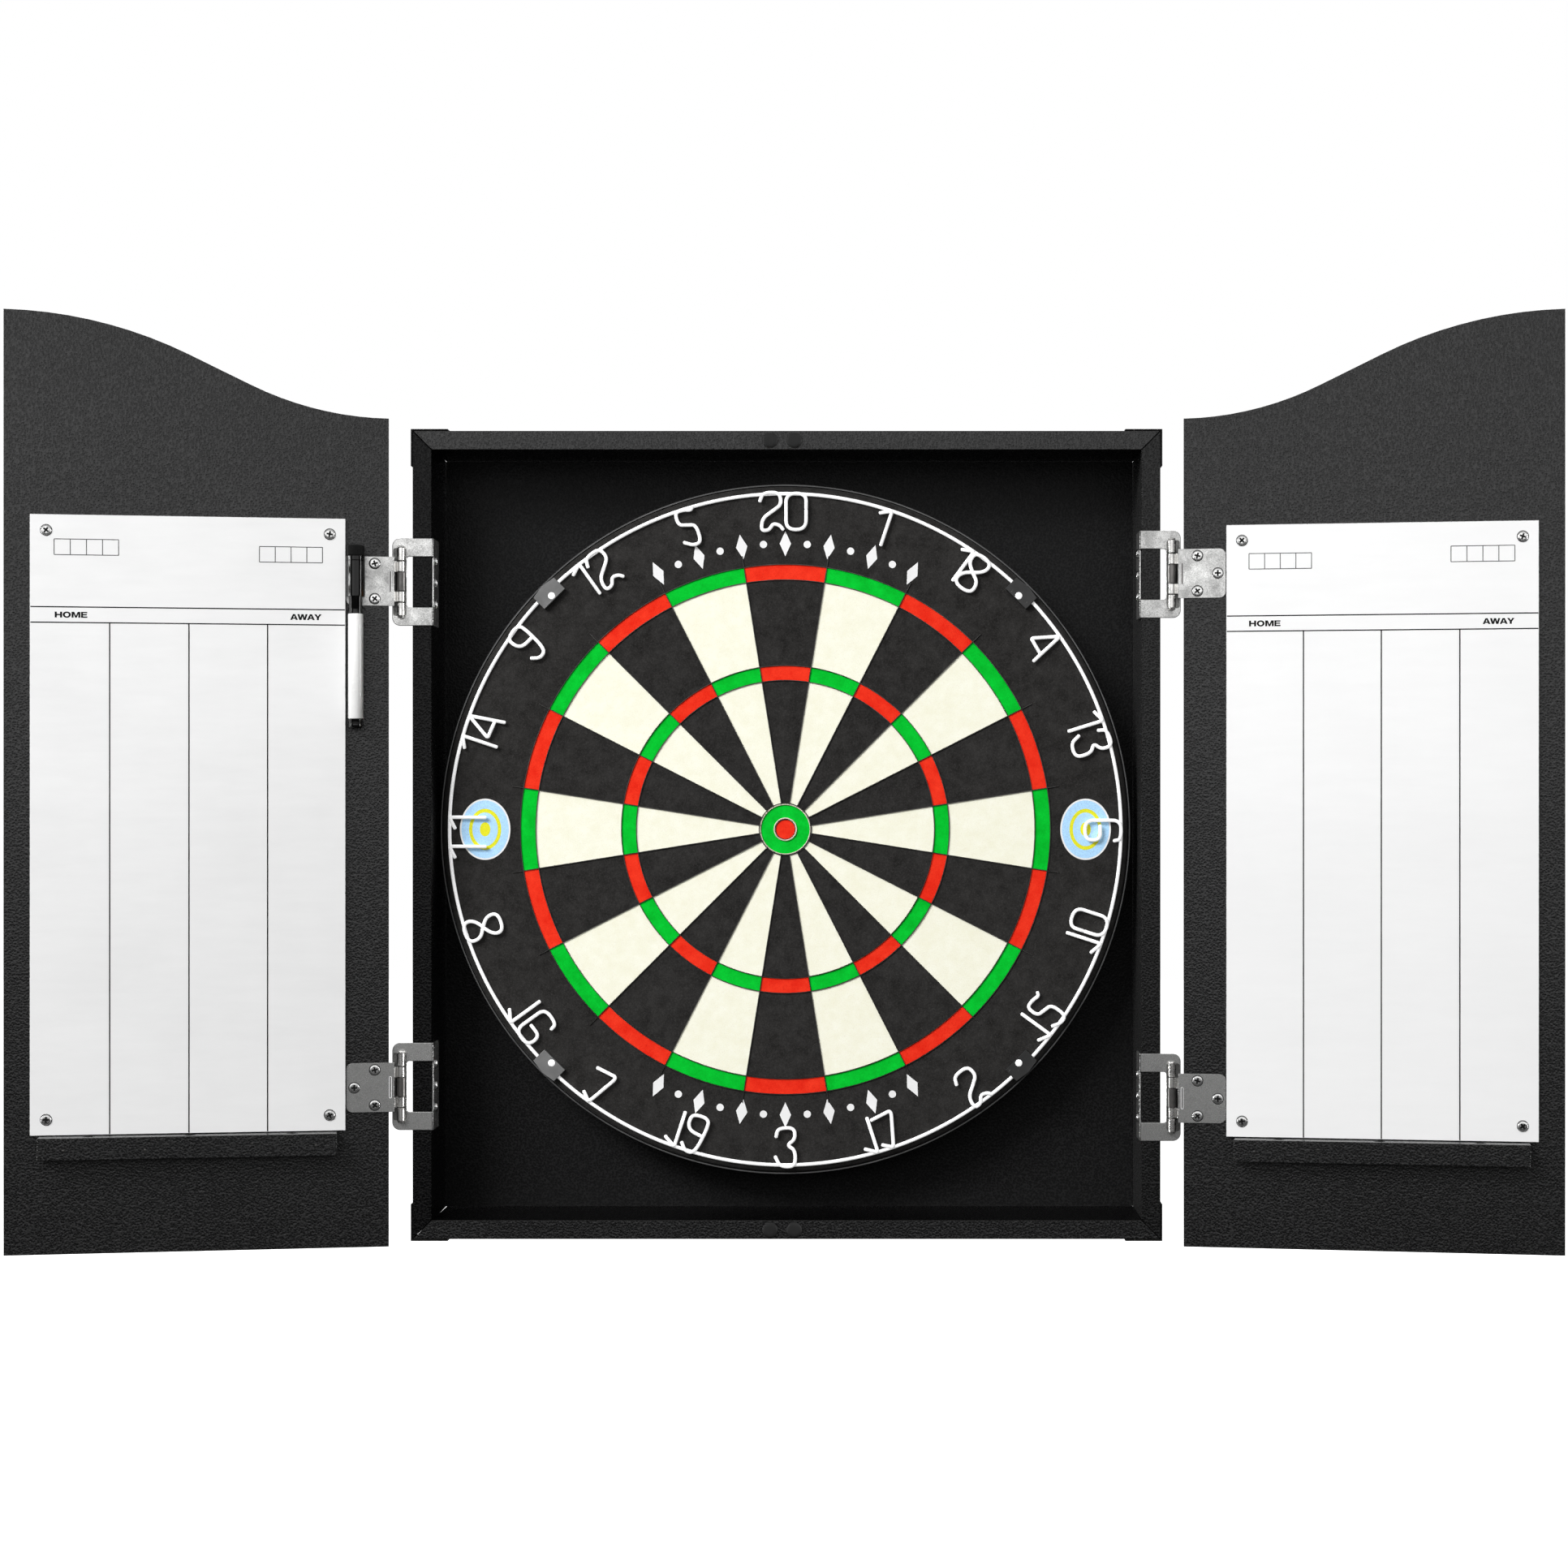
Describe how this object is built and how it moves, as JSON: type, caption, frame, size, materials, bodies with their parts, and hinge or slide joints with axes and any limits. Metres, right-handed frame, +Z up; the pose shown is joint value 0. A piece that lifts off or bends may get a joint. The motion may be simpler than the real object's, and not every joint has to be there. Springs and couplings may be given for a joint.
{
  "type": "dart board cabinet",
  "caption": "Wall cabinet with a bristle dart board and two hinged doors that carry scoreboards and dart racks.",
  "frame": {"origin": "centre of the rear face of the back panel, which lies against the wall", "axes": "+X to the viewer's right, +Y into the wall, +Z up; the board and the open front face -Y"},
  "size_m": [0.9872, 0.1403, 0.5962],
  "materials": {
    "black_wrap": "fibreboard in a matt black leather-grain film",
    "guard_black": "satin black paint",
    "pad_rubber": "matt black",
    "zinc_steel": "zinc plate",
    "scoreboard_white": "gloss white dry-wipe surface",
    "screw_black": "black oxide",
    "hinge_nickel": "satin nickel plate with a fine speckle",
    "spring_steel": "dark spring steel",
    "board_wood": "raw chipboard",
    "board_sisal": "compressed sisal bristle, dyed black, cream, red and green",
    "band_black": "satin black",
    "spider_steel": "thin galvanised wire",
    "number_white": "white coated wire",
    "clip_grey": "grey spring steel",
    "marker_black": "black moulded plastic",
    "marker_white": "white moulded plastic",
    "marker_felt": "black felt"
  },
  "bodies": {
    "cabinet": {"side_panel_left": "black_wrap", "side_panel_right": "black_wrap", "top_panel": "black_wrap", "bottom_panel": "black_wrap", "back_panel": "black_wrap", "corner_guard_top_left": "guard_black", "corner_guard_top_right": "guard_black", "corner_guard_bottom_left": "guard_black", "corner_guard_bottom_right": "guard_black", "buffer_pad_top_left": "pad_rubber", "buffer_pad_top_right": "pad_rubber", "buffer_pad_bottom_left": "pad_rubber", "buffer_pad_bottom_right": "pad_rubber", "board_bracket": "zinc_steel", "keyhole_plate_left": "zinc_steel", "keyhole_plate_right": "zinc_steel", "hinge_top_left_frame_leaf": "hinge_nickel", "hinge_top_left_pin": "hinge_nickel", "hinge_bottom_left_frame_leaf": "hinge_nickel", "hinge_bottom_left_pin": "hinge_nickel", "hinge_top_right_frame_leaf": "hinge_nickel", "hinge_top_right_pin": "hinge_nickel", "hinge_bottom_right_frame_leaf": "hinge_nickel", "hinge_bottom_right_pin": "hinge_nickel"},
    "board": {"board_backing": "board_wood", "board_bristle": "board_sisal", "board_band": "band_black", "board_spigot": "zinc_steel", "spider": "spider_steel", "number_ring": "number_white", "ring_clip_top_left": "clip_grey", "ring_clip_top_right": "clip_grey", "ring_clip_bottom_left": "clip_grey", "ring_clip_bottom_right": "clip_grey"},
    "marker": {"marker_barrel": "marker_white", "marker_end_plug": "marker_black"},
    "door_left": {"door_panel_left": "black_wrap", "scoreboard_left": "scoreboard_white", "dart_rack_left": "black_wrap", "scoreboard_screw_top_inner_left": "screw_black", "scoreboard_screw_top_outer_left": "screw_black", "scoreboard_screw_bottom_inner_left": "screw_black", "scoreboard_screw_bottom_outer_left": "screw_black", "hinge_top_left_door_leaf": "hinge_nickel", "hinge_top_left_spring": "spring_steel", "hinge_bottom_left_door_leaf": "hinge_nickel", "hinge_bottom_left_spring": "spring_steel", "marker_cap": "marker_black", "marker_eraser": "marker_felt"},
    "door_right": {"door_panel_right": "black_wrap", "scoreboard_right": "scoreboard_white", "dart_rack_right": "black_wrap", "scoreboard_screw_top_inner_right": "screw_black", "scoreboard_screw_top_outer_right": "screw_black", "scoreboard_screw_bottom_inner_right": "screw_black", "scoreboard_screw_bottom_outer_right": "screw_black", "hinge_top_right_door_leaf": "hinge_nickel", "hinge_top_right_spring": "spring_steel", "hinge_bottom_right_door_leaf": "hinge_nickel", "hinge_bottom_right_spring": "spring_steel"}
  },
  "joints": [
    {"name": "door_left_hinge", "type": "hinge", "parent": "cabinet", "child": "door_left", "pos_m": [-0.248, -0.0827, 0], "axis": [0, 0, -1], "range_deg": [-170, 20]},
    {"name": "door_right_hinge", "type": "hinge", "parent": "cabinet", "child": "door_right", "pos_m": [0.248, -0.0827, 0], "axis": [0, 0, 1], "range_deg": [-170, 20]},
    {"name": "board_turn", "type": "hinge", "parent": "cabinet", "child": "board", "pos_m": [-0.0015, -0.034, 0.0035], "axis": [0, -1, 0], "continuous": true},
    {"name": "marker_pull", "type": "slide", "parent": "door_left", "child": "marker", "axis": [0, 0, -1], "range_m": [0, 0.045]}
  ]
}
